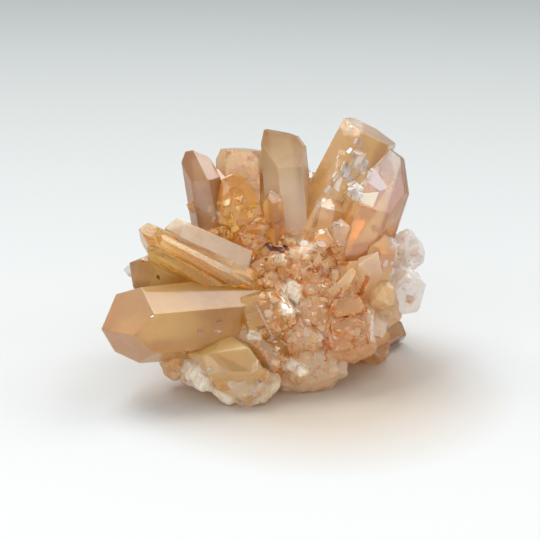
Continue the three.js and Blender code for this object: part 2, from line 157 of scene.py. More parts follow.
FRONT_POINTS = [
    point("big left point", seen(8, 21.5, 20), seen(-35.8, 17.6, -1), 7.1, -15, cut=(-5, 0, -6, 0.5, -5, 0),
          tint=(OLIVE, TAN), cloud=(0.66, 0.66), stain=0),
    point("stub beside the big left point", seen(9, 15, 19), seen(-3.5, 24, 2), 5.4, 4, broken=(3.4, 0.4, 0.1),
          tint=(OLIVE, HONEY), cloud=(0.5, 0.5), stain=0.1),
    point("upper left blade", seen(-3.6, 32.4, 15.4), seen(-21.4, 40.6, 5.6), 2.3, -32,
          sides=(1.15, 0.85, 1.1, 1, 1, 0.9), cut=(0, 0.6, -2, 0, -2, 0), broken=(0.8, 0.1, 0.2),
          tint=(BUFF, BUFF), cloud=(0.9, 0.9), stain=0.15, wear=0.35),
    # The golden blade and its two ridges take bands of painted highlight and painted shade along them.
    point("golden blade", seen(4, 23.6, 17), seen(-28.2, 38.8, 4.6), 3.3, -26, apex=(0, 1.2),
          cut=(-0.6, 0, -1, 0.6, -1.6, 0.5), broken=(1.2, 0.2, -0.5), tint=(GOLD, GOLD), cloud=(0.45, 0.45),
          painted_light_streaks=1),
    point("upper ridge of the golden blade", seen(2, 24.2, 12.9), seen(-23.8, 38.2, 2.9), 1.25, -16,
          broken=(0.4, 0.2, -0.5), tint=(GOLD, GOLD), cloud=(0.4, 0.4), painted_light_streaks=1),
    point("lower ridge of the golden blade", seen(0, 20.9, 13.4), seen(-25.6, 35.8, 3.2), 1.6, 8,
          broken=(0.4, 0.2, -0.4), tint=(GOLD, GOLD), cloud=(0.4, 0.4), painted_light_streaks=1),
    point("lower left blade", seen(-3.5, 23.5, 19), seen(-30.4, 31.8, 9), 4.4, -18, cut=(0, -2, 0, -2, 0.5, -2),
          broken=(2, 0.3, -0.2), tint=(OLIVE, TAWNY), cloud=(0.7, 0.7), stain=0.3),
    point("small clear tip at the far left", seen(-22, 29, 16), seen(-30.6, 30.8, 14), 1.2, 20,
          tint=(CLEAR, CLEAR), cloud=(0.8, 0.8)),
    point("upright left point", seen(-10, 34, 22), seen(-14.3, 57.9, 18), 3.4, -8, apex=(-1.2, -1.4),
          cut=(1, 0.4, -2, 0, -1.5, -0.6), tint=(BROWN, BROWN), cloud=(0.9, 0.8)),
    point("chip at the foot of the upright left point", seen(-12, 43, 20), seen(-16.6, 45.4, 17), 0.9, 10),
    point("broken plate", seen(-4, 36, 26), seen(-4.2, 61.7, 25), 4.9, 4, sides=(0.75, 1, 1, 0.75, 1, 1.05),
          broken=(4.2, 0.1, 0.06), tint=(AMBER, PEACH), cloud=(0.4, 0.5)),
    point("small amber point", seen(3.6, 36, 17), seen(2.4, 48.6, 13), 2.0, 25, cut=(0, -1, 0.4, -1, 0, -1),
          tint=(AMBER, GOLD), cloud=(0.3, 0.2)),
    point("upright middle point", seen(7, 34, 23), seen(4.6, 63.4, 21), 4.35, 12, apex=(-2.2, -3.4),
          cut=(0.5, -5, -6, -4, -3, -1.6), broken=(2.6, 0.15, 0.3), tint=(WHITE, TAWNY),
          cloud=(0.7, 0.85), stain=0),
    point("point behind the middle", seen(9.5, 36, 28), seen(10.8, 53.6, 31), 2.9, 8, apex=(0, -1.4),
          tint=(PALE, PALE), cloud=(0.6, 0.4)),
    point("tall right point", seen(8.6, 31, 24), seen(24.3, 62.4, 23), 5.6, 16, sides=(1, 1.12, 1.12, 1, 1, 1),
          cut=(-7, -7, -7, -7, -7, -7), broken=(0.7, 0.26, 0.04), tint=(TAN, TAN), cloud=(0.6, 0.6)),
    point("right point with the golden side", seen(19.4, 30, 21), seen(29.2, 57.6, 16), 5.8, 4,
          apex=(-4.4, 0.2), cut=(0, -1.6, -3, -4, -3.4, -0.4), broken=(1.2, 0.1, 0.3), tint=(AMBER, LILAC),
          cloud=(0.4, 0.35)),
    point("small point in front of the tall one", seen(13.2, 31, 19.5), seen(16.8, 48, 17.6), 2.9, -24,
          broken=(1.5, 0.6, 0.5), tint=(PALE, PEACH), cloud=(0.7, 0.6)),
    point("bright-topped small point", seen(15.5, 30, 17.5), seen(18.1, 42.4, 12), 2.2, 8,
          broken=(1.1, 0.25, 0), tint=(PEACH, WHITE), cloud=(0.6, 0.6)),
    point("upper clear end", seen(19, 28, 24), seen(36.8, 37.2, 21), 4.0, 15, broken=(1.6, 0.3, -0.25),
          tint=(CLEAR, CLEAR), cloud=(1.2, 1.2), stain=0, wear=0.3),
    point("lower clear end", seen(19, 25, 23), seen(37.6, 26.8, 18), 5.1, 30, broken=(1.8, 0.35, 0.2),
          tint=(CLEAR, CLEAR), cloud=(1.2, 1.2), stain=0, wear=0.3),
    point("amber right point", seen(24, 22, 17), seen(27.9, 38.8, 12), 2.9, 24, cut=(0, -1, 0.5, -1, 0, -1),
          tint=(PALE, PEACH), cloud=(0.7, 0.6), stain=0.2),
    point("pale right point", seen(20, 23, 16), seen(25.9, 34.8, 9), 2.7, -20, cut=(0.5, -1, 0, -1, 0, 0.4),
          tint=(PALE, WHITE), cloud=(0.7, 0.6), stain=0.2),
    point("pale ridge below the small points", seen(13, 22, 17), seen(22.6, 33, 10.5), 2.6, 12,
          broken=(1.2, 0.2, 0.4), tint=(PALE, PALE), cloud=(0.7, 0.6)),
    point("low right point", seen(15, 18.6, 26), seen(31.8, 16.6, 24), 4.6, 18, cut=(0, 0, -1, 0, -2, 0.6),
          tint=(PEACH, TAN), cloud=(0.7, 0.6)),
    point("front point over the foot", seen(3, 16, 20), seen(-6, 9, 1), 7, 20,
          sides=(1, 1, 1, 1, 0.9, 1.05), broken=(5.2, 0.34, 0.12), tint=(OLIVE, OLIVE), cloud=(0.7, 0.6)),
    point("upper stained block", seen(15, 26, 20), seen(21.2, 22.4, 7), 4.4, 2,
          sides=(1, 1, 1.15, 1, 1, 1.1), broken=(1.8, 0.3, 0.3), tint=(ROSY, ROSY), cloud=(0.6, 0.6),
          stain=0.4),
    point("lower stained block", seen(15, 21, 20), seen(21, 14.2, 5.4), 4.8, 30, sides=(1, 1.1, 1, 1, 1.1, 1),
          broken=(2, 0.15, 0.1), tint=(ROSY, ROSY), cloud=(0.6, 0.6), stain=0.6),
    point("column beside the stained blocks", seen(22, 26, 22), seen(26.4, 16, 9), 2.3, 10,
          broken=(0.8, 0.2, 0.2), tint=(PALE, WHITE), cloud=(0.7, 0.7), stain=0.2),
    point("left stained block", seen(10, 24, 19), seen(13.4, 19, 5), 4.2, 12, broken=(1.8, 0.3, -0.1),
          tint=(PALE, PEACH), cloud=(0.7, 0.6), stain=0.4),
]

BACK_POINTS = [
    point("back 1", CORE, stood(-22, 44, 24), 4.7, 10),
    point("back 2", CORE, stood(-6, 52, 39), 4.1, 35, tint=(PEACH, PALE)),
    point("back 3", CORE, stood(7, 57, 29), 5.9, 5, tint=(OLIVE, PEACH)),
    point("back 4", CORE, stood(24, 53, 35), 4.6, 20, tint=(PEACH, PALE)),
    point("back 5", CORE, stood(34, 46, 21), 4.4, 48, tint=(AMBER, PEACH)),
    point("back 6", CORE, stood(-24, 42, 14), 4.8, 28, tint=(PEACH, PALE)),
    point("back 7", CORE, stood(-4, 55, 14), 4.6, 14, tint=(AMBER, PEACH)),
    point("back 8", CORE, stood(22, 55, 13), 4.9, 40, tint=(PEACH, PEACH)),
    point("back 9", CORE, stood(20, 43, 45), 4.2, 0, tint=(PALE, PEACH)),
    point("back 10", stood(0, 32, 24), stood(-11, 41, 42), 3.2, 18),
    point("back 11", stood(14, 34, 24), stood(28, 45, 40), 3.0, 30, tint=(PEACH, CLEAR)),
    point("back 12", stood(14, 30, 18), stood(33, 37, 12), 3.6, 12, tint=(AMBER, PEACH)),
    point("back 13", stood(0, 36, 18), stood(-13, 52, 24), 3.1, 52, tint=(PEACH, PALE)),
    point("back 14", stood(12, 38, 20), stood(15, 58, 20), 3.2, 26, tint=(PEACH, GOLD)),
    point("back 15", stood(6, 30, 18), stood(-17, 40, 0), 5.0, 8, broken=(2, 0.2, 0.1)),
    point("back 16", stood(10, 30, 18), stood(20, 51, -1), 5.2, 22, broken=(3, -0.3, 0.1), tint=(OLIVE, PEACH)),
    point("back 17", stood(12, 30, 16), stood(33, 40, 1), 3.6, 40, tint=(PEACH, BROWN)),
]


def lump(at, half, corners, tint=PEACH, cloud=0.7, stain=0.3, rough=0.25):
    """What one broken lump is: its middle, half its size across, up and deep, its corners and its looks."""
    return dict(at=at, half=half, corners=corners, tint=tint, cloud=cloud, stain=stain, rough=rough)


LUMPS = {
    "core": lump(seen(8.7, 27, 20), (14, 12, 12), 40, tint=ROSE, cloud=0.9, stain=0.9, rough=0.6),
    "coreLeft": lump(seen(0, 22, 18.5), (12, 9.5, 10), 34, tint=OLIVE, cloud=0.5),
    "coreRight": lump(seen(15.5, 26, 22), (11.5, 11, 11), 34, tint=PALE, stain=0.5, rough=0.4),
    "coreBack": lump(stood(8, 36, 15), (15, 12, 12), 40, rough=0.5),
    "amberMass": lump(seen(-7.6, 38.6, 21), (7.6, 5, 5), 22, tint=GOLD, cloud=0.4, rough=0.5),
    "amberMassRight": lump(seen(-1.5, 38, 19), (7, 6, 5.4), 22, tint=AMBER, cloud=0.4, rough=0.4),
    "frontFoot": lump(seen(-3.6, 5.6, 5.6), (8, 5.2, 6.2), 26, tint=CREAM, cloud=0.8, rough=0.6, stain=0.05),
    "frontFootLeft": lump(seen(-12, 8.6, 8), (6.6, 5.6, 6), 22, tint=WHITE, cloud=0.9, rough=0.7, stain=0.05),
    "crustLeft": lump(seen(-18.6, 10.4, 11), (4.6, 4.6, 5), 18, tint=PEACH, rough=0.6, stain=0.4),
    "underside": lump(seen(0, 15.4, 17), (14, 7.6, 9), 30, tint=PALE),
    "smoothLump": lump(seen(9.6, 9.8, 13.6), (11, 6, 8), 44, tint=CREAM, cloud=0.85, rough=0.35, stain=0.2),
    "mosaic": lump(seen(8, 16.4, 11.8), (8.4, 6, 6.6), 40, tint=PALE, cloud=0.7, rough=0.45, stain=0.5),
    "stainedLump": lump(seen(18.6, 18, 13.2), (8.8, 8.6, 8), 34, tint=ROSY, cloud=0.8, rough=0.5, stain=0.7),
    "stainedLumpTop": lump(seen(16, 23.6, 12.6), (6.6, 5.4, 5.6), 26, tint=ROSY, cloud=0.8, rough=0.5,
                           stain=0.7),
    "amberLump": lump(seen(27, 25, 13), (3.8, 4.2, 4), 18, tint=PALE, cloud=0.8, rough=0.3),
    "rightLump": lump(seen(26.5, 22, 17), (5.6, 5.6, 5.6), 20, tint=PALE, rough=0.4),
    "clearLumpTop": lump(seen(32.2, 36, 22), (3.8, 4, 3.8), 18, tint=CLEAR, cloud=1.2, stain=0, rough=0.5),
    "clearLumpBottom": lump(seen(31.8, 26.4, 19), (4.6, 6, 4.6), 20, tint=CLEAR, cloud=1.2, stain=0, rough=0.5),
    "lowRightFoot": lump(seen(25.2, 13.6, 27), (4.6, 4.4, 4.6), 18, tint=PEACH, rough=0.3),
}

# Solids with flat faces that are no six-sided points, by their corners.
BLOCKS = [
    ("window of the front point", [
        seen(-10.6, 17.1, 7), seen(-7.8, 17.1, 6.4), seen(-2.4, 12.6, 2.6), seen(2, 6.7, 1.6),
        seen(-16.9, 12.4, 5.4), seen(-12.9, 11.8, 1.2), seen(-10.7, 12.3, 0.6), seen(-2.9, 13.4, 1.4),
        seen(-2.2, 12.9, 1.2), seen(0.4, 8.2, 0.4), seen(-6.4, 8, 0.1), seen(-12, 7.4, 1.4),
        seen(-3.6, 0.9, 2.2), seen(-1.2, 2.2, 1.8), seen(-9.5, 4.2, 2), seen(-12, 4, 14), seen(2, 6, 15),
        seen(-4, 17, 16), seen(-14, 12, 15),
    ], dict(tint=HONEY, cloud=0.75, stain=0.0)),
    ("amber arch", [
        seen(-9.8, 46.8, 17.4), seen(-8.7, 51, 17.6), seen(-6.4, 52.2, 17.6), seen(-3.8, 51.8, 17.4),
        seen(-1.4, 48.8, 17), seen(0.2, 41.4, 16.6), seen(-9.6, 41, 16.8), seen(-8.4, 46.6, 16.2),
        seen(-6.4, 49.4, 16.2), seen(-4.2, 48.8, 16.2), seen(-2.6, 45.8, 15.8), seen(-2.2, 40.6, 15.4),
        seen(-8, 40.6, 15.6), seen(-9.8, 41, 25), seen(-8.7, 51, 25), seen(-3.8, 51.8, 25), seen(0.2, 41.4, 25),
    ], dict(tint=AMBER, cloud=0.5, stain=0.0)),
    ("crystals at the right of the core", [
        seen(12.2, 38.6, 10.6), seen(14.6, 40.2, 11), seen(16.2, 37.2, 9.8), seen(13.6, 34.2, 8.8),
        seen(10.8, 35.4, 9.4), seen(12.2, 38.6, 18), seen(16.2, 37.2, 18), seen(10.8, 35.4, 18),
        seen(13.6, 34, 18),
    ], dict(tint=PALE, cloud=0.5, stain=0.0)),
    ("pale ridge in the core", [
        seen(14.6, 25.6, 7.4), seen(16.9, 27.8, 6), seen(20.4, 31.3, 8), seen(21.4, 30.2, 8.4),
        seen(19.8, 27.4, 6.2), seen(16.5, 24.7, 7.2), seen(14.6, 25.6, 14), seen(20.4, 31.3, 15),
        seen(21.4, 30.2, 15), seen(16.5, 24.7, 14),
    ], dict(tint=PALE, cloud=0.7, stain=0.0)),
    ("upper rosy block", [
        seen(16.4, 24.6, 7.6), seen(21.6, 25.2, 7.6), seen(23.4, 22.2, 7.2), seen(20.6, 20.6, 5.6),
        seen(16.6, 20.4, 5.8), seen(15.4, 22.4, 6.4), seen(16.4, 24.6, 14), seen(23.4, 25, 15),
        seen(24, 20.6, 15), seen(15.4, 20.4, 14),
    ], dict(tint=ROSY, cloud=0.55, stain=0.35)),
    ("lower rosy block", [
        seen(16.2, 20.2, 6.6), seen(20.4, 20.4, 6.2), seen(23.6, 19, 7.2), seen(23.4, 15.6, 7),
        seen(19.4, 15.2, 5.2), seen(15.8, 16.6, 5.4), seen(15.4, 18.6, 6), seen(15.8, 20.2, 14),
        seen(24, 19.6, 15), seen(23.8, 15, 14), seen(15.4, 16, 14),
    ], dict(tint=ROSY, cloud=0.55, stain=0.35)),
]

# Growth steps and broken faces: the tint, the cloudiness, how far they stand out, and their corners across and
# up in the view. The lilac and the green-white steps carry painted reflections.
STEPS = [
    # Painted reflections: a lilac and a green-white step on the points at the right.
    (PAINTED_LILAC_REFLECTION, 1.0, 0.1, [
        (25.3, 53.3), (29.0, 53.6), (28.2, 48.9), (26.4, 48.2), (22.4, 48.1), (23.5, 50.3)]),
    (PAINTED_GREEN_REFLECTION, 1.0, 0.12, [(21.6, 47.6), (26.2, 48.1), (24.9, 44.6), (22.4, 45.6)]),
    (WHITE, 1.0, 0.25, [(26.4, 58.7), (28.9, 58.4), (29.8, 56.7), (26.8, 56.4)]),
    (PALE, 0.9, 0.12, [(22.2, 62.9), (24.8, 62.7), (28.0, 60.4), (28.6, 58.9), (25.3, 58.1), (22.6, 59.2)]),
    (WHITE, 0.9, 0.2, [(19.0, 63.7), (21.2, 63.7), (21.4, 62.6), (19.2, 62.2)]),
    (CREAM, 0.9, 0.3, [(15.8, 41.6), (18, 41.6), (18, 40.4), (15.8, 40.4)]),
    (CREAM, 0.9, 0.3, [(22.2, 31.8), (25.6, 34.7), (26.9, 32.4), (26.0, 29.6)]),
    (WINDOW, 0.6, 0.12, [
        (-12.9, 11.8), (-10.7, 12.2), (-2.9, 13.6), (-2.2, 12.9), (0.4, 8.2), (-6.5, 8.1), (-11.9, 7.3)]),
    (CREAM, 0.8, 0.12, [(-12.2, 52.2), (-9.8, 52.4), (-10.9, 46.2)]),
    (WHITE, 0.9, 0.12, [(21.0, 57.4), (23.4, 56.6), (22.4, 52.4), (20.4, 53.6)]),
    (PALE, 0.9, 0.1, [(17.2, 57.4), (19.0, 57.0), (18.0, 52.2), (16.6, 53.0)]),
    (WHITE, 0.9, 0.14, [(16.8, 51.4), (18.2, 51.2), (17.4, 48.0), (16.2, 48.8)]),
    (PALE, 0.9, 0.14, [(19.4, 50.4), (21.0, 49.8), (20.0, 46.6), (18.4, 47.6)]),
    (PALE, 0.9, 0.2, [(14.8, 25.8), (17.0, 27.8), (20.2, 31.0), (21.0, 30.2), (18.2, 26.2), (15.6, 24.8)]),
    (CREAM, 0.9, 0.3, [(9.6, 36.9), (11.6, 37.2), (12.4, 35.6), (10.2, 35.0)]),
    (ROSY, 0.9, 0.3, [(11.2, 34.2), (13.0, 34.6), (13.8, 32.4), (11.8, 32.0)]),
    (CREAM, 0.9, 0.3, [(8.6, 31.4), (10.4, 31.6), (10.8, 30.2), (9.0, 29.8)]),
    (ROSY, 0.9, 0.3, [(13.0, 27.2), (14.8, 28.0), (15.2, 26.2), (13.6, 25.4)]),
]

# White flakes: where they lie across and up, half their width and length, their turn, and how they lean.
FLAKES = [
    (7.3, 25.3, 0.55, 0.9, 15, 0.9), (4.4, 24.4, 0.45, 0.45, 40, 0.8), (5.2, 22.4, 0.8, 0.9, 30, 0.7),
    (9.6, 36.4, 1.4, 1.0, 20, 0.6), (16.9, 41.0, 1.1, 0.55, 0, 0.8), (3.2, 20.2, 0.55, 0.4, 10, 0.8),
    (-2.0, 16.1, 1.2, 0.4, -12, 0.8), (2.6, 15.9, 1.0, 0.35, 20, 0.7), (8.8, 9.2, 1.4, 0.35, 25, 0.7),
    (6.9, 10.2, 0.7, 0.3, -20, 0.7), (11.9, 33.4, 0.7, 0.9, 30, 0.6), (13.4, 36.4, 1.2, 0.9, -10, 0.5),
    (14.2, 31.2, 0.6, 0.7, 35, 0.8), (10.7, 27.2, 0.5, 0.5, 10, 0.8), (12.4, 29.3, 0.7, 0.45, 45, 0.9),
    (17.8, 36.8, 1.3, 0.9, 5, 0.4), (7.0, 38.9, 1.1, 0.5, -15, 0.7), (-9.2, 43.2, 0.5, 0.8, 20, 0.6),
    (-19.3, 42.0, 1.5, 0.6, -25, 0.6), (20.0, 62.4, 0.8, 0.6, 10, 0.8), (-9.6, 17.0, 0.9, 0.3, -20, 0.7),
    (24.6, 18.2, 0.42, 3.2, -4, 0.1), (0.6, 19.7, 0.24, 4.1, 27, 0.1), (34.4, 30.4, 0.8, 1.6, 0, 0.5),
    (33.8, 34.6, 1.2, 0.9, 0, 0.5), (33.2, 24.6, 0.9, 1.2, 20, 0.5), (21.6, 56.8, 1.3, 0.8, -15, 0.5),
    (11.0, 22.8, 0.8, 0.5, 40, 0.6), (9.2, 18.2, 0.7, 0.4, -30, 0.6), (12.6, 16.0, 0.9, 0.4, 30, 0.5),
]

# Hollows where flakes broke away: the middle, and half the size across, up and deep.
HOLLOWS = [
    (seen(40.2, 33.2, 14), (5, 4.5, 5)),
]

# Small crystals grown on the lumps: which lump, which side of it and how far round, how many and how big.
DRUSE = [
    dict(on="core", towards=TO_VIEWER, fan=64, seed=11, count=58, length=(0.7, 2.2), radius=(0.7, 1.8)),
    dict(on="coreRight", towards=TO_VIEWER, fan=60, seed=29, count=14, length=(0.8, 2.2), radius=(0.7, 1.6)),
    dict(on="coreLeft", towards=TO_VIEWER, fan=50, seed=31, count=12, length=(0.8, 2), radius=(0.7, 1.5)),
    dict(on="amberMass", towards=TO_VIEWER, fan=70, seed=23, count=9, length=(1, 2.2), radius=(0.7, 1.4)),
    dict(on="amberMassRight", towards=TO_VIEWER, fan=70, seed=41, count=9, length=(1, 2.2), radius=(0.7, 1.4)),
    dict(on="coreBack", towards=TO_BACK, fan=85, seed=53, count=34, length=(1.6, 4), radius=(1, 2.2)),
]


def leaning(way, axis, angle):
    return way * math.cos(angle) + axis * math.sin(angle)


def crystal_frame(each):
    """The long axis of a point, and the two ways across it: towards the viewer, and sideways."""
    axis = (each["tip"] - each["root"]).normalized()
    forward = (TO_VIEWER - axis * TO_VIEWER.dot(axis)).normalized()
    return axis, forward, axis.cross(forward)


def cut_away(co, normal):
    """Slices the mesh being edited and closes the cut, keeping what lies behind the plane."""
    bpy.ops.mesh.select_all(action="SELECT")
    bpy.ops.mesh.bisect(plane_co=co, plane_no=normal, use_fill=True, clear_outer=True, threshold=1e-5)


def pick(obj):
    """Makes this the one selected object, and the active one."""
    bpy.ops.object.select_all(action="DESELECT")
    obj.select_set(True)
    bpy.context.view_layer.objects.active = obj


def shape_with(obj, name, kind, **settings):
    """Adds a modifier to the active object, sets it up and applies it."""
    modifier = obj.modifiers.new(name, kind)
    for key, value in settings.items():
        setattr(modifier, key, value)
    bpy.ops.object.modifier_apply(modifier=modifier.name)


def set_in_place():
    """Puts the active object's place, turn and size into its mesh."""
    bpy.ops.object.transform_apply(location=True, rotation=True, scale=True)


def finish_edges(obj, width, segments=1):
    shape_with(obj, "worn edges", "BEVEL", width=width, segments=segments, limit_method="ANGLE",
               angle_limit=EDGE_ANGLE)


def crystal(each, edge=POINT_EDGE):
    """Cuts a six-sided point with its six end faces out of a block."""
    axis, forward, sideways = crystal_frame(each)
    root, tip, radius = each["root"], each["tip"], each["radius"]
    peak = tip + forward * each["apex"][0] + sideways * each["apex"][1]
    bpy.ops.mesh.primitive_cube_add(size=2, location=(root + tip) / 2)
    obj = bpy.context.object
    obj.name = each["name"]
    obj.rotation_euler = Matrix((forward, sideways, axis)).transposed().to_4x4().to_euler()
    obj.scale = (3 * radius, 3 * radius, (tip - root).length / 2 + 2 * radius)
    set_in_place()
    bpy.ops.object.mode_set(mode="EDIT")
    cut_away(root, -axis)
    for face in range(6):
        angle = math.radians(each["roll"] + 60 * face)
        out = forward * math.cos(angle) + sideways * math.sin(angle)
        drop = each["cut"][face] if each["cut"] else (-SMALL_FACE_DROP * radius if face % 2 else 0)
        reach = radius * (each["sides"][face] if each["sides"] else 1)
        cut_away(tip + out * reach, leaning(out, axis, SIDE_TAPER))
        cut_away(peak - axis * drop, leaning(out, axis, END_FACE_ANGLE))
    if each["broken"]:
        below, lean, turn = each["broken"]
        cut_away(tip - axis * below, (axis + forward * lean + sideways * turn).normalized())
    bpy.ops.object.mode_set(mode="OBJECT")
    if edge:
        finish_edges(obj, edge)
    mark_crystal(obj, each, axis)
    return obj


def mark(obj, tint, cloud, stain, lines, painted_light_streaks, length, wear=0.0):
    """Stores a solid's looks on its faces: colour and cloudiness at the root and at the tip, then its marks,
    among them the share of painted highlight and painted shade bands.
    """
    mesh = obj.data
    root = mesh.attributes.new("root tint", "FLOAT_COLOR", "FACE")
    tip = mesh.attributes.new("tip tint", "FLOAT_COLOR", "FACE")
    marks = mesh.attributes.new("marks", "FLOAT_COLOR", "FACE")
    for face in mesh.polygons:
        root.data[face.index].color = (*tint[0], cloud[0])
        tip.data[face.index].color = (*tint[1], cloud[1])
        marks.data[face.index].color = (stain, lines(face), painted_light_streaks, 1 / length)
    worn = mesh.attributes.new("wear", "FLOAT", "FACE")
    worn.data.foreach_set("value", [wear] * len(mesh.polygons))


def mark_crystal(obj, each, axis):
    """Gives a point its looks, and UVs in millimetres across and along it."""
    mesh = obj.data
    grain = mesh.uv_layers.active
    grain.name = "grain"
    for face in mesh.polygons:
        on_side = abs(face.normal.dot(axis)) < 0.2
        across = axis.cross(face.normal).normalized() if on_side else axis.orthogonal().normalized()
        for corner in face.loop_indices:
            spot = mesh.vertices[mesh.loops[corner].vertex_index].co
            grain.data[corner].uv = (spot.dot(across), (spot - each["root"]).dot(axis))
    mark(obj, each["tint"], each["cloud"], each["stain"],
         lambda face: each["lines"] if abs(face.normal.dot(axis)) < 0.2 else 0,
         each["painted_light_streaks"], (each["tip"] - each["root"]).length, each["wear"])


def mark_lump(obj, each):
    """Gives a lump one colour and finish all over, and plain UVs."""
    mesh = obj.data
    grain = mesh.uv_layers.active or mesh.uv_layers.new()
    grain.name = "grain"
    for corner in mesh.loops:
        spot = mesh.vertices[corner.vertex_index].co
        grain.data[corner.index].uv = (spot.x + 0.3 * spot.y, spot.z)
    tint, cloud = each["tint"], each["cloud"]
    mark(obj, (tint, tint), (cloud, cloud), each["stain"], lambda face: 0, 0, 1, each["rough"])


ROUGH = bpy.data.textures.new("uneven surface", "CLOUDS")
ROUGH.noise_scale = 2.2
ROUGH.noise_depth = 3
SCALLOPS = bpy.data.textures.new("shell-shaped breaks", "VORONOI")
SCALLOPS.noise_scale = 2.6


def wrap(name, corners):
    """A solid wrapped round its corners."""
    mesh = bpy.data.meshes.new(name)
    mesh.from_pydata(corners, [], [])
    obj = bpy.data.objects.new(name, mesh)
    bpy.context.collection.objects.link(obj)
    pick(obj)
    bpy.ops.object.mode_set(mode="EDIT")
    bpy.ops.mesh.select_all(action="SELECT")
    bpy.ops.mesh.convex_hull()
    bpy.ops.mesh.normals_make_consistent(inside=False)
    bpy.ops.object.mode_set(mode="OBJECT")
    return obj


def broken_lump(name, each, seed):
    """Wraps a lump round its corners, rounds its edges and breaks up its surface."""
    random = Seeded(seed)
    corners = []
    for i in range(each["corners"]):
        height = 1 - (2 * i + 1) / each["corners"]
        turn = i * GOLDEN_ANGLE
        ring = math.sqrt(1 - height * height)
        reach = random.between(*LUMP_REACH)
        corners.append(each["at"] + reach * Vector((
            each["half"][0] * ring * math.cos(turn),
            each["half"][2] * ring * math.sin(turn),
            each["half"][1] * height,
        )))
    obj = wrap(name, corners)
    finish_edges(obj, LUMP_EDGE, 2)
    shape_with(obj, "finer", "REMESH", mode="VOXEL", voxel_size=LUMP_GRAIN, use_smooth_shade=False)
    for texture, strength in ((ROUGH, 2), (SCALLOPS, 1.6)):
        shape_with(obj, "uneven", "DISPLACE", texture=texture, texture_coords="LOCAL",
                   strength=each["rough"] * strength, mid_level=0.5)
    shape_with(obj, "fewer", "DECIMATE", ratio=LUMP_SHARE)
    mark_lump(obj, each)
    return obj


def block(name, corners, looks, edge=BLOCK_EDGE):
    """A solid with flat faces, with its edges worn."""
    obj = wrap(name, corners)
    finish_edges(obj, edge, 2)
    mark_lump(obj, lump(corners[0], (1, 1, 1), 0, rough=0.0, **looks))
    return obj


def seen_on(surface, across, up):
    """The spot of the surface that shows at this place of the view, its normal and how far off it is."""
    spot, normal, face, gap = surface.ray_cast(EYE, (seen(across, up, VIEW_CENTRE.z) - EYE).normalized())
    return spot, normal, gap


def step(tint, cloud, proud, corners, surface):
    """Low steps, at most one, on the surface where the viewer sees these corners."""
    hits = []
    for across, up in corners:
        spot, normal, gap = seen_on(surface, across, up)
        if spot:
            hits.append((gap, spot))
    if len(hits) < 3:
        return []
    usual = sorted(gap for gap, spot in hits)[len(hits) // 2]
    spots = [spot for gap, spot in hits if abs(gap - usual) < STEP_SPREAD]
    if len(spots) < 3:
        return []
    top = [spot + TO_VIEWER * proud for spot in spots]
    foot = [spot - TO_VIEWER * STEP_DEPTH for spot in spots]
    return [block("step", top + foot, dict(tint=tint, cloud=cloud, stain=0.0), edge=STEP_EDGE)]


def flake(across, up, wide, long, turn, lean, surface):
    """White flakes, at most one, set on the surface where the viewer sees it, leaning to catch the light."""
    spot, normal, gap = seen_on(surface, across, up)
    if not spot or normal.dot(TO_VIEWER) < FLAKE_FACING:
        return []
    facing = (TO_VIEWER * (1.4 - lean) + TO_WINDOW * lean).normalized()
    up_in_chip = Matrix.Rotation(math.radians(turn), 3, TO_VIEWER) @ UP_IN_VIEW
    sideways = up_in_chip.cross(facing).normalized()
    bpy.ops.mesh.primitive_cylinder_add(vertices=7, radius=1, depth=2)
    obj = bpy.context.object
    obj.data.transform(
        Matrix.Translation(spot - facing * FLAKE_SINK)
        @ Matrix((sideways, facing.cross(sideways), facing)).transposed().to_4x4()
        @ Matrix.Diagonal((wide, long, FLAKE_THICK, 1)))
    finish_edges(obj, FLAKE_EDGE)
    mark_lump(obj, lump(spot, (1, 1, 1), 0, tint=WHITE, cloud=0.55, stain=0, rough=0.12))
    return [obj]


def druse(patch):
    """Small crystals over one side of a lump, each with its root inside the lump and its tip pointing out."""
    on = LUMPS[patch["on"]]
    random = Seeded(patch["seed"])
    made = []
    while len(made) < patch["count"]:
        out = random.any_way().normalized()
        way = (random.any_way() * DRUSE_LEAN + out).normalized()
        long = random.between(*patch["length"])
        thick = random.between(*patch["radius"])
        roll = 60 * random.one()
        if out.angle(patch["towards"]) > math.radians(patch["fan"]):
            continue
        base = on["at"] + DRUSE_SEAT * Vector(
            (on["half"][0] * out.x, on["half"][2] * out.y, on["half"][1] * out.z))
        made.append(crystal(point(
            "druse", base - way * (thick + long), base + way * long, thick, roll,
            tint=(on["tint"], PALE), cloud=(0.6, 0.4), stain=on["stain"]), edge=DRUSE_EDGE))
    return made


# How far each side face of a shard stands out, and how its top is broken off.
SHARD_SHAPES = [
    ((1, 1, 1, 1, 1, 1), (0.5, 0.2, 0.1)),
    ((1, 0.5, 0.8, 1, 0.6, 0.9), (0.7, 0.5, 0.2)),
    ((0.4, 1.1, 1, 0.4, 0.8, 1.2), (0.7, 0.3, -0.5)),
    ((0.7, 1.2, 0.5, 0.6, 1.2, 0.6), (0.7, -0.5, 0.3)),
]


def shard_kinds():
    """The few broken bits and small points that are copied all over the druse and the crusts."""
    kinds = []
    for number, (sides, broken) in enumerate(SHARD_SHAPES):
        kind = crystal(point(f"shard {number}", stood(0, 0, -2), stood(0, 0, 1), 1, 17 * number, sides=sides,
                             broken=broken), edge=0)
        bpy.context.collection.objects.unlink(kind)
        kinds.append(kind)
    return kinds


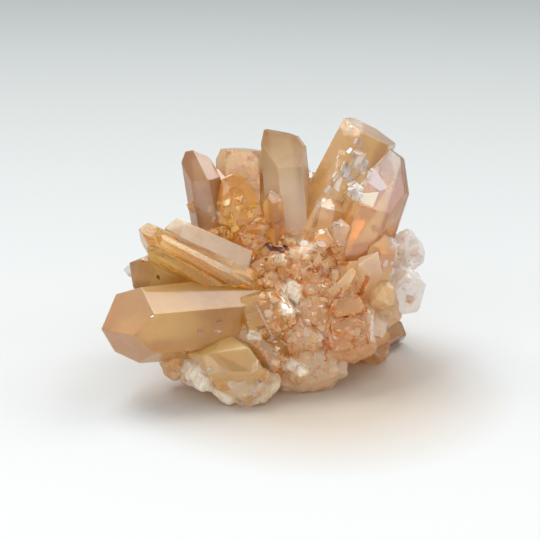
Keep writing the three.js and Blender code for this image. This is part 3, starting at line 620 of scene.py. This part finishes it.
def scatter(patch, kinds, surface):
    """Copies shards onto the surface inside an oval of the view, or flat plates that lie along a point."""
    random = Seeded(patch["seed"])
    made = []
    for _ in range(patch["count"]):
        turn = 2 * math.pi * random.one()
        reach = math.sqrt(random.one())
        across = patch["at"][0] + patch["half"][0] * reach * math.cos(turn)
        up = patch["at"][1] + patch["half"][1] * reach * math.sin(turn)
        if patch.get("behind"):
            spot, normal, face, gap = surface.ray_cast(stood(across, FAR_BEHIND, up), stood(0, -1, 0))
        else:
            spot, normal, gap = seen_on(surface, across, up)
        thick = random.between(*patch["radius"])
        long = thick * random.between(*patch["slender"])
        lean = random.any_way() * patch["lean"]
        kind = kinds[int(random.one() * len(kinds))]
        roll = 2 * math.pi * random.one()
        tint = patch["tints"][int(random.one() * len(patch["tints"]))]
        stain = patch["stain"] * random.between(0.3, 1.2)
        if not spot or (patch.get("along") and normal.dot(TO_VIEWER) < PLATE_FACING):
            continue
        way = (lean + normal).normalized()
        if patch.get("along"):
            lengthwise = (patch["along"] - way * way.dot(patch["along"])).normalized()
            turned = Matrix((way.cross(lengthwise), lengthwise, way)).transposed()
            size = (thick, long, PLATE_THICK)
            seat = patch["proud"] - PLATE_THICK
        else:
            turned = way.to_track_quat("Z", "Y").to_matrix() @ Matrix.Rotation(roll, 3, "Z")
            size = (thick, thick, long)
            seat = thick * patch["proud"]
        shard = kind.copy()
        shard.data = kind.data.copy()
        bpy.context.collection.objects.link(shard)
        shard.data.transform(
            Matrix.Translation(spot + way * seat) @ turned.to_4x4() @ Matrix.Diagonal((*size, 1)))
        for name in ("root tint", "tip tint"):
            for stored in shard.data.attributes[name].data:
                stored.color = (*tint, patch["cloud"])
        for stored in shard.data.attributes["marks"].data:
            stored.color = (stain, 0, 0, 1)
        made.append(shard)
    return made


def in_view(spots):
    """Where places lie across and up in the view: what seen() undoes, for a whole array at once."""
    ways = spots - np.array(EYE)
    ahead = -ways @ np.array(TO_VIEWER)
    across = VIEW_CENTRE.x + ways[:, 0] * VIEW_DISTANCE / ahead
    up = VIEW_CENTRE.y + ways @ np.array(UP_IN_VIEW) * VIEW_DISTANCE / ahead
    return across, up


def near_marks(across, up, marks):
    """How strongly the marks reach places of the view: full inside their width, none at twice that."""
    most = np.zeros(len(across))
    for line, width, strength in marks:
        for start, end in zip(line, line[1:]):
            run = np.subtract(end, start)
            share = ((across - start[0]) * run[0] + (up - start[1]) * run[1]) / (run @ run)
            share = np.clip(share, 0, 1)
            gap = np.hypot(across - start[0] - share * run[0], up - start[1] - share * run[1])
            most = np.maximum(most, strength * np.clip(2 - gap / width, 0, 1))
    return most


def corners_of(mesh):
    spots = np.empty(len(mesh.vertices) * 3)
    mesh.vertices.foreach_get("co", spots)
    return spots.reshape(-1, 3)


def refine(obj):
    """Splits the long edges near marks, so that the marks can be painted on the points."""
    pick(obj)
    bpy.ops.object.mode_set(mode="EDIT")
    bpy.ops.mesh.select_all(action="SELECT")
    bpy.ops.mesh.quads_convert_to_tris()
    bpy.ops.mesh.select_mode(type="EDGE")
    bpy.ops.object.mode_set(mode="OBJECT")
    for longest in (16, 8, 4, 2, 1, 0.5):
        marks = RUST_MARKS + DARK_MARKS + (CHIP_MARKS if longest >= 1 else [])
        mesh = obj.data
        spots = corners_of(mesh)
        ends = np.empty(len(mesh.edges) * 2, dtype=np.int32)
        mesh.edges.foreach_get("vertices", ends)
        start, end = spots[ends[0::2]], spots[ends[1::2]]
        length = np.linalg.norm(end - start, axis=1)
        across, up = in_view((start + end) / 2)
        wide = [(line, width + longest / 2, 1) for line, width, strength in marks]
        chosen = (length > longest) & (near_marks(across, up, wide) > 0)
        if not chosen.any():
            continue
        bpy.ops.object.mode_set(mode="EDIT")
        bpy.ops.mesh.select_all(action="DESELECT")
        bpy.ops.object.mode_set(mode="OBJECT")
        mesh.edges.foreach_set("select", chosen)
        bpy.ops.object.mode_set(mode="EDIT")
        bpy.ops.mesh.subdivide(number_cuts=1)
        bpy.ops.mesh.select_all(action="SELECT")
        bpy.ops.mesh.quads_convert_to_tris()
        bpy.ops.object.mode_set(mode="OBJECT")


def paint(obj):
    """Stores rust, dark specks and chips on the points that the viewer sees."""
    mesh = obj.data
    surface = BVHTree.FromPolygons([v.co for v in mesh.vertices], [f.vertices for f in mesh.polygons])
    painted = mesh.attributes.new("paint", "FLOAT_COLOR", "POINT")
    spots = corners_of(mesh)
    across, up = in_view(spots)
    x, y, z = spots.T
    across = across + 0.22 * np.sin(3.1 * y + 2.3 * z) + 0.12 * np.sin(7.3 * x + 5.1 * z)
    up = up + 0.22 * np.sin(2.7 * x + 3.3 * y) + 0.12 * np.sin(6.7 * y + 5.9 * x)
    marks = np.stack([near_marks(across, up, kind) for kind in (RUST_MARKS, DARK_MARKS, CHIP_MARKS)], axis=1)
    colours = np.zeros((len(spots), 4))
    for index in np.nonzero(marks.any(axis=1))[0]:
        at = Vector(spots[index])
        spot, normal, face, gap = surface.ray_cast(EYE, (at - EYE).normalized())
        if spot and (spot - at).length < PAINT_REACH:
            colours[index, :3] = marks[index]
    painted.data.foreach_set("color", colours.ravel())


def fuse(body, others, operation="UNION"):
    """Joins closed solids into the body, or takes them out of it, leaving one skin."""
    group = bpy.data.collections.new("to fuse")
    bpy.context.scene.collection.children.link(group)
    for other in others:
        group.objects.link(other)
    bpy.context.view_layer.objects.active = body
    shape_with(body, "fuse", "BOOLEAN", solver="MANIFOLD", operation=operation, operand_type="COLLECTION",
               collection=group)
    for other in others:
        bpy.data.objects.remove(other)
    bpy.data.collections.remove(group)
    return body


def keep_largest(obj):
    """Drops pockets sealed inside and loose chips: all but the largest shell."""
    pick(obj)
    bpy.ops.object.mode_set(mode="EDIT")
    bpy.ops.mesh.select_all(action="SELECT")
    bpy.ops.mesh.separate(type="LOOSE")
    bpy.ops.object.mode_set(mode="OBJECT")
    shells = sorted(bpy.context.selected_objects, key=lambda shell: len(shell.data.polygons))
    for shell in shells[:-1]:
        bpy.data.objects.remove(shell)
    bpy.context.view_layer.objects.active = shells[-1]
    return shells[-1]


# Which way the window behind lies, and where the camera stands.
TO_WINDOW = Vector((0.49, 0.41, 0.77))
EYE = seen(*VIEW_CENTRE) + TO_VIEWER * VIEW_DISTANCE

# Patches of shards: an oval of the view, how many, how thick, how long for their thickness, and their looks.
SHARDS = [
    dict(at=(9.5, 26.5), half=(9.5, 13), seed=5, count=210, radius=(0.5, 1.5), slender=(0.6, 1.1), lean=0.45,
         proud=-0.3, tints=(CREAM, ROSY, PALE, PEACH), cloud=0.8, stain=1.1),
    dict(at=(-5, 41.6), half=(6.5, 5.4), seed=6, count=50, radius=(0.4, 1.2), slender=(0.7, 1.4), lean=0.8,
         proud=-0.4, tints=(AMBER, GOLD, PALE), cloud=0.5, stain=0.1),
    dict(at=(-15, 6), half=(4, 4.6), seed=7, count=70, radius=(0.3, 0.8), slender=(0.5, 1.0), lean=0.8,
         proud=-0.4, tints=(WHITE, CREAM), cloud=0.8, stain=0.05),
    dict(at=(-1, 3.6), half=(6, 3.4), seed=9, count=30, radius=(0.4, 1.2), slender=(0.5, 0.9), lean=0.5,
         proud=-0.5, tints=(WHITE, CREAM), cloud=0.7, stain=0.05),
    dict(at=(8, 12.6), half=(10, 6), seed=8, count=130, radius=(0.4, 1.4), slender=(0.6, 1.1), lean=0.4,
         proud=-0.3, tints=(PALE, CREAM, PEACH), cloud=0.8, stain=0.5),
    dict(at=(33, 31), half=(5, 8), seed=13, count=60, radius=(0.5, 1.6), slender=(0.5, 1.0), lean=0.6,
         proud=-0.5, tints=(WHITE, CLEAR), cloud=0.9, stain=0),
    dict(at=(20.5, 18.5), half=(4, 5), seed=14, count=40, radius=(0.5, 1.4), slender=(0.5, 1.0), lean=0.6,
         proud=-0.5, tints=(ROSY, PALE, PEACH), cloud=0.8, stain=0.7),
    dict(at=(-19.5, 8.6), half=(4, 3), seed=10, count=30, radius=(0.25, 0.8), slender=(0.6, 1.2), lean=0.6,
         proud=-0.4, tints=(PEACH, PALE), cloud=0.7, stain=0.2),
    dict(at=(8, 28), half=(20, 12), seed=12, count=300, radius=(0.4, 1.3), slender=(0.7, 1.4), lean=0.8,
         proud=-0.4, tints=(PEACH, PALE, WHITE, AMBER), cloud=0.45, stain=0.3, behind=True),
]

# Low steps and chips that lie along a point.
PLATES = [
    dict(at=(15.5, 50), half=(3.4, 8), seed=21, count=60, radius=(0.12, 0.4), slender=(0.8, 2.6), lean=0.1,
         proud=0.1, tints=(PALE, WHITE), cloud=1.1, stain=0, along=Vector((0.45, 0.02, 0.89))),
    dict(at=(21.5, 53), half=(3.4, 7), seed=22, count=60, radius=(0.2, 0.7), slender=(0.8, 2.2), lean=0.14,
         proud=0.14, tints=(WHITE, PALE), cloud=1.1, stain=0, along=Vector((0.45, 0.02, 0.89))),
    dict(at=(-12, 20), half=(16, 5), seed=24, count=22, radius=(0.15, 0.5), slender=(1, 5), lean=0.04,
         proud=0.05, tints=(OLIVE, PEACH), cloud=0.4, stain=0, along=Vector((-0.9, -0.4, -0.1))),
    dict(at=(-5, 56), half=(4.6, 5), seed=26, count=14, radius=(0.3, 0.9), slender=(0.6, 1.6), lean=0.12,
         proud=0.12, tints=(PALE, PEACH), cloud=0.5, stain=0, along=Vector((0, 0.1, 1))),
]

# Marks on the front, each a line of places across and up in the view, its half width and its strength.
RUST_MARKS = [
    ([(15.1, 35.1), (15.6, 34.4)], 0.45, 1.3),
    ([(10.4, 30.9), (11.6, 30.4), (13.2, 31.4)], 0.32, 1.17),
    ([(16.2, 33.2), (17.0, 32.0), (18.6, 31.8), (19.4, 32.8)], 0.26, 1.04),
    ([(13.6, 29.4), (14.9, 29.3)], 0.26, 1.04),
    ([(6.6, 29.2), (7.8, 28.8), (9.0, 28.0)], 0.45, 0.91),
    ([(3.2, 25.4), (3.8, 24.6)], 0.39, 1.04),
    ([(23.5, 29.1), (23.0, 27.4), (22.2, 25.8), (21.2, 24.6)], 0.32, 1.3),
    ([(17.7, 26.6), (17.1, 25.2)], 0.2, 1.04),
    ([(15.4, 22.6), (16.4, 21.8)], 0.45, 1.04),
    ([(17.8, 19.3), (19.2, 20.6), (20.6, 20.8), (22.2, 20.8), (23.4, 21.8), (23.3, 22.8)], 0.18, 1.3),
    ([(15.5, 18.3), (16.0, 17.2), (16.6, 16.6), (18.4, 16.2)], 0.29, 1.3),
    ([(14.4, 14.8), (14.9, 13.6)], 0.52, 1.3),
    ([(14.4, 13.0), (14.5, 10.6)], 0.16, 1.17),
    ([(20.8, 15.2), (20.6, 13.6)], 0.45, 0.91),
    ([(23.4, 16.4), (23.6, 14.6)], 0.26, 1.04),
    ([(17.5, 12.6), (19.0, 11.6)], 0.32, 0.65),
    ([(3.5, 19.2), (4.4, 18.8)], 0.78, 0.65),
    ([(11.3, 18.8), (11.5, 18.0)], 0.32, 0.65),
    ([(-0.5, 12.8), (0.3, 12.2)], 0.62, 0.6),
    ([(-9.6, 5.6), (-8.0, 4.6)], 0.87, 0.6),
    ([(0.4, 7.4), (0.6, 6.2)], 0.43, 0.5),
    ([(2.4, 10.2), (3.6, 9.0)], 0.74, 0.4),
    ([(27.6, 39.2), (27.2, 38.2)], 0.31, 0.9),
    ([(-21.2, 11.4), (-20.0, 10.0)], 0.99, 0.4),
    ([(5.0, 36.4), (8.0, 36.0)], 0.52, 0.52),
    ([(9.5, 39.4), (11.5, 38.8)], 0.31, 0.6),
    ([(27.0, 52.0), (29.5, 49.0)], 0.93, 0.25),
]
DARK_MARKS = [
    ([(1.3, 36.3), (2.2, 35.4), (4.4, 35.1)], 0.45, 1.3),
    ([(5.4, 35.7), (5.7, 35.4)], 0.35, 1.2),
    ([(1.0, 33.1), (1.1, 32.6)], 0.3, 1.3),
    ([(-22.8, 29.5), (-22.5, 29.1)], 0.22, 1.4),
    ([(-26.0, 32.9), (-25.8, 32.6)], 0.22, 1.0),
    ([(5.3, 38.4), (6.0, 37.2)], 0.35, 0.6),
    ([(2.8, 12.3), (3.4, 12.0)], 0.4, 0.9),
    ([(-16.8, 12.6), (-16.4, 12.2)], 0.3, 0.9),
    ([(5.2, 28.3), (5.7, 27.8)], 0.4, 0.6),
]
# Where the faces are chipped and white.
CHIP_MARKS = [
    ([(17.4, 53.4), (16.0, 48.6), (13.6, 44.0)], 1.6, 0.6),
    ([(21.4, 53.6), (20.6, 48.0)], 2.0, 0.6),
    ([(19.2, 62.6), (21.0, 62.4)], 1.4, 0.8),
    ([(-15.0, 7.4), (-11.6, 2.6), (-7.0, 0.8)], 1.4, 0.8),
    ([(0.0, 1.2), (4.6, 4.6)], 1.2, 0.7),
    ([(6.4, 9.8), (9.4, 8.2)], 0.9, 0.9),
    ([(7.0, 26.4), (6.2, 22.4)], 1.6, 1.0),
    ([(8.6, 36.2), (10.4, 35.2)], 1.2, 0.9),
    ([(-20.0, 41.2), (-17.0, 42.0)], 1.2, 0.7),
    ([(24.4, 21.4), (24.9, 15.4)], 0.5, 0.8),
    ([(-2.0, 16.2), (-1.0, 16.0)], 0.8, 1.2),
]

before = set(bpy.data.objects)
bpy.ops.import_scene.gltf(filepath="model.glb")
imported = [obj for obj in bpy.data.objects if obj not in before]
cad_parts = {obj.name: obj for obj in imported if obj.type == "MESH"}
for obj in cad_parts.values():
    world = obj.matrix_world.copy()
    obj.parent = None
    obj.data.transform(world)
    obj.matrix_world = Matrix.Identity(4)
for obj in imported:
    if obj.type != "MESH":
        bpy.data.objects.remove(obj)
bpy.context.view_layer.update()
bpy.ops.object.select_all(action="DESELECT")

# The lumps, points, blocks and druse are fused into one stone.
solids = [broken_lump(name, each, 101 + i) for i, (name, each) in enumerate(LUMPS.items())]
solids += [crystal(each) for each in FRONT_POINTS + BACK_POINTS]
solids += [block(*each) for each in BLOCKS]
for patch in DRUSE:
    solids += druse(patch)
stone = fuse(solids[0], solids[1:])
stone = keep_largest(stone)

# It is hollowed, and ground flat where it rests.
hollows = []
for at, half in HOLLOWS:
    bpy.ops.mesh.primitive_ico_sphere_add(subdivisions=4, radius=1, location=at)
    scoop = bpy.context.object
    scoop.scale = (half[0], half[2], half[1])
    set_in_place()
    mark_lump(scoop, lump(at, half, 0, tint=CLEAR, cloud=0.2, stain=0))
    hollows.append(scoop)
bpy.ops.mesh.primitive_cube_add(size=GROUND_SIZE, location=(0, 0, FOOT_TRIM - GROUND_SIZE / 2))
ground = bpy.context.object
set_in_place()
mark_lump(ground, lump(CORE, (1, 1, 1), 0, tint=PALE, cloud=0.8))
stone = fuse(stone, hollows + [ground], "DIFFERENCE")
stone = keep_largest(stone)

# Shards, plates, steps and flakes are set on its surface and fused with it.
kinds = shard_kinds()
bpy.ops.mesh.primitive_cube_add(size=2)
slab = bpy.context.object
mark_lump(slab, lump(CORE, (1, 1, 1), 0))
bpy.context.collection.objects.unlink(slab)
surface = BVHTree.FromPolygons([v.co for v in stone.data.vertices], [f.vertices for f in stone.data.polygons])
shards = []
for patch in SHARDS:
    shards += scatter(patch, kinds, surface)
for patch in PLATES:
    shards += scatter(patch, [slab], surface)
for each in STEPS:
    shards += step(*each, surface)
for each in FLAKES:
    shards += flake(*each, surface)
stone = keep_largest(fuse(stone, shards))

refine(stone)
paint(stone)

stone.name = "tangerine_quartz"
stone.data.transform(Matrix.Scale(MM, 4) @ Matrix.Translation((-MIDDLE_ACROSS, -MIDDLE_DEEP, -FOOT_TRIM)))


class Value:
    """A socket in a material, with arithmetic that adds the nodes for it."""

    def __init__(self, tree, socket):
        self.tree = tree
        self.socket = socket

    def math(self, operation, other=None, clamp=False):
        node = self.tree.nodes.new("ShaderNodeMath")
        node.operation = operation
        node.use_clamp = clamp
        self.tree.links.new(self.socket, node.inputs[0])
        if isinstance(other, Value):
            self.tree.links.new(other.socket, node.inputs[1])
        elif other is not None:
            node.inputs[1].default_value = other
        return Value(self.tree, node.outputs[0])

    def __add__(self, other):
        return self.math("ADD", other)

    __radd__ = __add__

    def __mul__(self, other):
        return self.math("MULTIPLY", other)

    __rmul__ = __mul__

    def __sub__(self, other):
        return self.math("SUBTRACT", other)

    def __rsub__(self, other):
        return (self * -1) + other

    def __pow__(self, other):
        return self.math("POWER", other)

    def within(self):
        """The same value held between 0 and 1."""
        return self.math("ADD", 0.0, clamp=True)

    def over(self, low, high):
        """How far the value is from low to high, held between 0 and 1."""
        return ((self - low) * (1 / (high - low))).within()


class Finish:
    """A material under construction."""

    def __init__(self, name):
        self.material = bpy.data.materials.new(name)
        self.material.use_nodes = True
        self.tree = self.material.node_tree
        self.tree.nodes.clear()

    def node(self, kind, settings=None, output=0, **sockets):
        """Adds a node, sets it up, fills its sockets and gives one of its outputs."""
        node = self.tree.nodes.new(kind)
        for key, value in (settings or {}).items():
            setattr(node, key, value)
        for key, value in sockets.items():
            socket = node.inputs[int(key[1:])] if key[1:].isdigit() else node.inputs[key.replace("_", " ")]
            if isinstance(value, Value):
                self.tree.links.new(value.socket, socket)
            else:
                socket.default_value = value
        return Value(self.tree, node.outputs[output])

    def mix(self, share, a, b, blend="MIX"):
        node = self.tree.nodes.new("ShaderNodeMix")
        node.data_type = "RGBA"
        node.blend_type = blend
        for index, value in ((0, share), (6, a), (7, b)):
            if isinstance(value, Value):
                self.tree.links.new(value.socket, node.inputs[index])
            elif index == 0:
                node.inputs[index].default_value = value
            else:
                node.inputs[index].default_value = (*value, 1)
        return Value(self.tree, node.outputs[2])

    def split(self, colour):
        node = self.tree.nodes.new("ShaderNodeSeparateColor")
        self.tree.links.new(colour.socket, node.inputs[0])
        return [Value(self.tree, node.outputs[i]) for i in range(3)]

    def output(self, surface, volume=None):
        node = self.tree.nodes.new("ShaderNodeOutputMaterial")
        self.tree.links.new(surface.socket, node.inputs["Surface"])
        if volume:
            self.tree.links.new(volume.socket, node.inputs["Volume"])
        return self.material


QUARTZ_IOR = 1.54
# The tint that light takes on over its way through the stone, and how fast, per metre.
DEPTH_TINT = (1.0, 0.77, 0.15, 1)
DEPTH_DENSITY = 95.0


def quartz():
    """Hazy orange quartz with glossy faces, growth lines, clear tips and rusty stains."""
    f = Finish("tangerine quartz")
    # Places in metres, the grain in millimetres across and along a point, and what the faces and points store.
    place = f.node("ShaderNodeTexCoord", output=3)
    grain = f.node("ShaderNodeUVMap", {"uv_map": "grain"})
    root_tint = f.node("ShaderNodeAttribute", {"attribute_name": "root tint"})
    root_cloud = f.node("ShaderNodeAttribute", {"attribute_name": "root tint"}, output=3)
    tip_tint = f.node("ShaderNodeAttribute", {"attribute_name": "tip tint"})
    tip_cloud = f.node("ShaderNodeAttribute", {"attribute_name": "tip tint"}, output=3)
    marks = f.node("ShaderNodeAttribute", {"attribute_name": "marks"})
    short = f.node("ShaderNodeAttribute", {"attribute_name": "marks"}, output=3)
    stain, lines, painted_streak_share = f.split(marks)
    painted = f.node("ShaderNodeAttribute", {"attribute_name": "paint"})
    painted_rust, painted_dark, painted_chips = f.split(painted)
    wear = f.node("ShaderNodeAttribute", {"attribute_name": "wear"}, output=2)

    # The colour runs from the root to the tip over the part of a point that shows.
    along = f.node("ShaderNodeSeparateXYZ", output=1, Vector=grain)
    share = (along * short).over(0.35, 0.92)
    tint = f.mix(share, root_tint, tip_tint)
    cloud = root_cloud + (tip_cloud - root_cloud) * share

    def noise(scale, detail=4, rough=0.6, vector=place, **more):
        return f.node("ShaderNodeTexNoise", Vector=vector, Scale=scale, Detail=detail, Roughness=rough, **more)

    def facets(scale):
        """A height that tilts each cell of a broken surface its own way, in units of a cell."""
        cell = f.tree.nodes.new("ShaderNodeTexVoronoi")
        cell.inputs["Scale"].default_value = scale
        f.tree.links.new(place.socket, cell.inputs["Vector"])
        tilt = f.node("ShaderNodeVectorMath", {"operation": "SUBTRACT"},
                      i0=Value(f.tree, cell.outputs["Color"]), i1=(0.5, 0.5, 0.5))
        offset = f.node("ShaderNodeVectorMath", {"operation": "SUBTRACT"}, i0=place,
                        i1=Value(f.tree, cell.outputs["Position"]))
        return f.node("ShaderNodeVectorMath", {"operation": "DOT_PRODUCT"}, output=1, i0=tilt, i1=offset)

    # The patterns: clouds, colour zones, rust, growth lines across a point, and the bands of painted highlight
    # and painted shade along it.
    veils = noise(220, 6, 0.7).over(0.40, 0.66)
    zones = noise(110, 5, 0.62).over(0.42, 0.62)
    patchy = noise(500, 4, 0.7)
    fine = noise(1400, 4, 0.7)
    rust_spots = noise(420, 6, 0.7).over(0.56, 0.68)
    rust_lines = (noise(200, 5, 0.6) - 0.5).math("ABSOLUTE").over(0.022, 0.0)
    stretched = f.node("ShaderNodeMapping", Vector=grain, Scale=(0.16, 3.4, 1))
    growth = noise(1.0, 4, 0.65, vector=stretched)
    lengthwise = f.node("ShaderNodeMapping", Vector=grain, Scale=(1.3, 0.05, 1))
    highlight_streak = noise(1.0, 3, 0.55, vector=lengthwise).over(0.46, 0.60)
    shade = noise(1.7, 3, 0.55, vector=lengthwise).over(0.50, 0.62)

    # How far each mark shows.
    chips = (painted_chips * 1.2 + patchy * 1.6 - 1.0).within() * painted_chips.within()
    broken = (wear + chips).within()
    haze = (cloud * 0.8 + veils * 0.15 - 0.05).within()
    rust = (stain * (rust_spots + rust_lines) * 0.6
            + (painted_rust * 1.8 + fine * 2.0 + patchy - 1.6).within() * painted_rust.within()).within()
    dark = (painted_dark * 1.6 + patchy * 3 - 2.2).within() * painted_dark.within()

    # The colour on the surface, and the paler one that light takes through it.
    deeper = f.mix(1.0, tint, tint, "MULTIPLY")
    base = f.mix(zones * 0.45, tint, deeper)
    # Painted highlight, then painted shade, in bands along the golden points.
    base = f.mix(highlight_streak * painted_streak_share * 0.8, base, PAINTED_HIGHLIGHT)
    base = f.mix(shade * painted_streak_share * 0.5, base, SHADE)
    base = f.mix(chips * 0.8, base, WHITE)
    base = f.mix((painted_rust * patchy * 1.3).within(), base, ORANGE)
    base = f.mix(rust, base, RUST)
    base = f.mix(dark, base, DARK_RUST)
    through = f.mix(0.42, base, (1, 1, 1))

    # Fine relief: growth lines, grain, and the tilted cells of broken places.
    height = (growth * lines * 0.12 + fine * 0.02 + noise(300, 3, 0.5) * 0.1
              + facets(560) * broken * 1700)
    bump = f.node("ShaderNodeBump", Strength=1.0, Distance=0.0002, Height=height)

    # Clear quartz, and the milky quartz that takes its place where there are clouds, rust and chips.
    glassy = f.node(
        "ShaderNodeBsdfPrincipled", Base_Color=through, Roughness=(haze * 0.6 + 0.02), IOR=QUARTZ_IOR,
        Transmission_Weight=1.0, Coat_Weight=(0.6 - wear * 0.5), Coat_Roughness=0.02, Normal=bump)
    milky = f.node(
        "ShaderNodeBsdfPrincipled", {"subsurface_method": "RANDOM_WALK"}, Base_Color=base,
        Roughness=(haze * 0.2 + 0.08), IOR=QUARTZ_IOR, Subsurface_Weight=0.5,
        Subsurface_Radius=(1.0, 0.6, 0.3), Subsurface_Scale=0.004, Coat_Weight=(0.6 - wear * 0.5),
        Coat_Roughness=0.03, Normal=bump)
    milkiness = (haze * 0.68 + rust * 0.7 + dark + chips * 0.6).within()
    surface = f.node("ShaderNodeMixShader", i0=milkiness, i1=glassy, i2=milky)
    tinted = f.node("ShaderNodeVolumeAbsorption", Color=DEPTH_TINT, Density=DEPTH_DENSITY)
    return f.output(surface, tinted)


stone.data.materials.clear()
stone.data.materials.append(quartz())
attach(stone, "root")
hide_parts("quartz_cluster")

# The floor, the light and the camera. The paper has a painted shadow under the stone, darker and warm as if lit
# through the stone.
# Where the painted shadow sits on the floor, how far it reaches, and its warm dark colour.
PAINTED_SHADOW_SPOT = (0.012, -0.018, 0)
PAINTED_SHADOW_REACH = (0.042, 0.016)
PAINTED_WARM_SHADOW = (0.50, 0.41, 0.31)
NEAR_PAPER = (0.66, 0.67, 0.665)
SHADED_FAR_PAPER = (0.31, 0.335, 0.33)
bpy.ops.mesh.primitive_plane_add(size=8)
floor = bpy.context.object
floor.name = "floor"
paper = Finish("pale paper")
floor_place = paper.node("ShaderNodeTexCoord", output=3)
# Painted shade: the paper gets darker towards the back, away from the camera.
far = paper.node("ShaderNodeSeparateXYZ", output=1, Vector=floor_place).over(-0.08, 0.4)
paper_colour = paper.mix(far, NEAR_PAPER, SHADED_FAR_PAPER)
from_spot = paper.node("ShaderNodeVectorMath", {"operation": "DISTANCE"}, output=1, i0=floor_place,
                       i1=PAINTED_SHADOW_SPOT)
# Painted shadow: the paper turns a darker warm brown round the spot under the stone.
paper_colour = paper.mix(from_spot.over(*PAINTED_SHADOW_REACH) * 0.8, paper_colour, PAINTED_WARM_SHADOW)
floor.data.materials.append(paper.output(paper.node(
    "ShaderNodeBsdfPrincipled", Base_Color=paper_colour, Roughness=0.9)))


def soft_light(name, at, size, power, colour=(1, 1, 1)):
    """A lamp behind a frosted pane, aimed at the stone."""
    data = bpy.data.lights.new(name, "AREA")
    data.shape = "RECTANGLE"
    data.size, data.size_y = size
    data.energy = power
    data.color = colour
    light = bpy.data.objects.new(name, data)
    bpy.context.collection.objects.link(light)
    light.location = at
    light.rotation_euler = (Vector((0, 0, 0.02)) - Vector(at)).to_track_quat("-Z", "Y").to_euler()


soft_light("window behind", (0.37, 0.31, 0.575), (0.38, 0.38), 1.8)
soft_light("tent top", (-0.28, 0.3, 0.7), (0.55, 0.55), 5.0)
soft_light("small window", (0.33, -0.15, 0.71), (0.16, 0.16), 0.3, (0.86, 0.84, 1))
soft_light("right window", (0.62, -0.05, 0.44), (0.26, 0.26), 0.5)
soft_light("front fill", (-0.1, -0.6, 0.1), (0.5, 0.4), 1.1)
soft_light("left lamp", (-0.5, -0.35, 0.45), (0.2, 0.2), 0.4)

world = bpy.data.worlds.new("studio")
world.use_nodes = True
world.node_tree.nodes["Background"].inputs["Color"].default_value = (0.93, 0.95, 0.96, 1)
world.node_tree.nodes["Background"].inputs["Strength"].default_value = 0.6
bpy.context.scene.world = world
bpy.context.scene.view_settings.view_transform = "Standard"

across = Vector((1, 0, 0))
ahead = -TO_VIEWER
middle = across * VIEW_CENTRE.x + UP_IN_VIEW * VIEW_CENTRE.y + ahead * VIEW_CENTRE.z
middle -= Vector((MIDDLE_ACROSS, MIDDLE_DEEP, FOOT_TRIM))
lens = bpy.data.cameras.new("camera")
lens.lens = LENS
lens.sensor_width = 36
camera = bpy.data.objects.new("camera", lens)
bpy.context.collection.objects.link(camera)
camera.location = (middle - ahead * VIEW_DISTANCE) * MM
camera.rotation_euler = ahead.to_track_quat("-Z", "Y").to_euler()
bpy.context.scene.camera = camera
